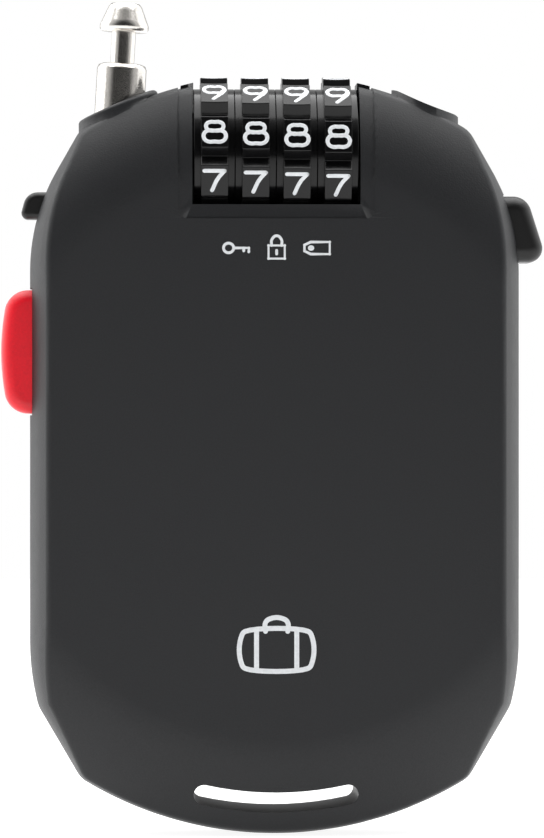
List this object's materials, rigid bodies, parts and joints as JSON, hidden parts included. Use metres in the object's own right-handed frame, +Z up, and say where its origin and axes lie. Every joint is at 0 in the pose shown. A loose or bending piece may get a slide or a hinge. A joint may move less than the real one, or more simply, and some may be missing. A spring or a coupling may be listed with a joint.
{
  "type": "cable luggage lock",
  "caption": "Retractable cable luggage lock: flat casing, number dials, pull-out cable plug, plug socket, side buttons and a lanyard slot.",
  "frame": {"origin": "bottom centre of the casing, on the plane where its two halves meet", "axes": "+Z up towards the dials, +Y out of the back face, +X towards the release button"},
  "size_m": [0.0663, 0.0196, 0.1019],
  "materials": {
    "shell_plastic": "soft-touch",
    "dial_plastic": "glossy",
    "cage_plastic": "glossy",
    "hub_plastic": "moulded",
    "nickel": "nickel plated",
    "steel": "plain",
    "spring_steel": "plain",
    "screw_steel": "blackened",
    "cable_coat": "clear-coated steel cord",
    "reel_plastic": "moulded",
    "red_plastic": "satin",
    "button_plastic": "satin",
    "zinc": "die cast"
  },
  "bodies": {
    "casing": {"front_shell": "shell_plastic", "back_shell": "shell_plastic", "case_screws": "screw_steel", "locating_pins": "hub_plastic", "dial_cage": "cage_plastic", "detent_spring": "spring_steel", "reel_axle": "steel", "reel_washers": "hub_plastic", "spring_arbor": "zinc", "power_spring": "spring_steel", "exit_guide": "hub_plastic", "plug_socket": "zinc", "latch_spring": "spring_steel", "brake_spring": "spring_steel", "pawl_pin": "steel", "code_tab_spring": "spring_steel"},
    "dial_1_body": {"dial_1": "dial_plastic", "clutch_hub_1": "hub_plastic"},
    "dial_2_body": {"dial_2": "dial_plastic", "clutch_hub_2": "hub_plastic"},
    "dial_3_body": {"dial_3": "dial_plastic", "clutch_hub_3": "hub_plastic"},
    "dial_4_body": {"dial_4": "dial_plastic", "clutch_hub_4": "hub_plastic"},
    "cable_end": {"plug": "nickel", "cable_lead": "cable_coat"},
    "reel": {"reel_drum": "reel_plastic", "reel_cover": "steel", "cable_wound": "cable_coat", "cable_anchor": "zinc"},
    "release": {"release_button": "button_plastic", "latch_bolt": "steel", "dial_shaft": "steel"},
    "code_change": {"code_tab": "button_plastic"},
    "brake": {"brake_button": "red_plastic"},
    "pawl": {"brake_pawl": "zinc"}
  },
  "joints": [
    {"name": "dial_1_spin", "type": "hinge", "parent": "casing", "child": "dial_1_body", "pos_m": [-0.0075, 0, 0.0831], "axis": [1, 0, 0], "continuous": true},
    {"name": "dial_2_spin", "type": "hinge", "parent": "casing", "child": "dial_2_body", "pos_m": [-0.0025, 0, 0.0831], "axis": [1, 0, 0], "continuous": true},
    {"name": "dial_3_spin", "type": "hinge", "parent": "casing", "child": "dial_3_body", "pos_m": [0.0025, 0, 0.0831], "axis": [1, 0, 0], "continuous": true},
    {"name": "dial_4_spin", "type": "hinge", "parent": "casing", "child": "dial_4_body", "pos_m": [0.0075, 0, 0.0831], "axis": [1, 0, 0], "continuous": true},
    {"name": "cable_pull", "type": "slide", "parent": "casing", "child": "cable_end", "axis": [0.0576, 0, 0.9983], "range_m": [0, 0.038]},
    {"name": "reel_spin", "type": "hinge", "parent": "casing", "child": "reel", "pos_m": [0, 0, 0.0355], "axis": [0, 1, 0], "range_deg": [0, 100]},
    {"name": "release_slide", "type": "slide", "parent": "casing", "child": "release", "axis": [-1, 0, 0], "range_m": [0, 0.002], "stiffness_N_per_m": 300, "springref_m": -0.001},
    {"name": "code_tab_slide", "type": "slide", "parent": "casing", "child": "code_change", "axis": [1, 0, 0], "range_m": [0, 0.001], "stiffness_N_per_m": 300, "springref_m": -0.001},
    {"name": "brake_press", "type": "slide", "parent": "casing", "child": "brake", "axis": [1, 0, 0], "range_m": [0, 0.0016], "stiffness_N_per_m": 300, "springref_m": -0.001},
    {"name": "pawl_turn", "type": "hinge", "parent": "casing", "child": "pawl", "pos_m": [-0.0215, 0, 0.053], "axis": [0, -1, 0], "range_deg": [0, 10]}
  ],
  "couplings": [
    {"joint": "reel_spin", "follows": "cable_pull", "rad_per_m": 45.3},
    {"joint": "pawl_turn", "follows": "brake_press", "rad_per_m": 109}
  ]
}
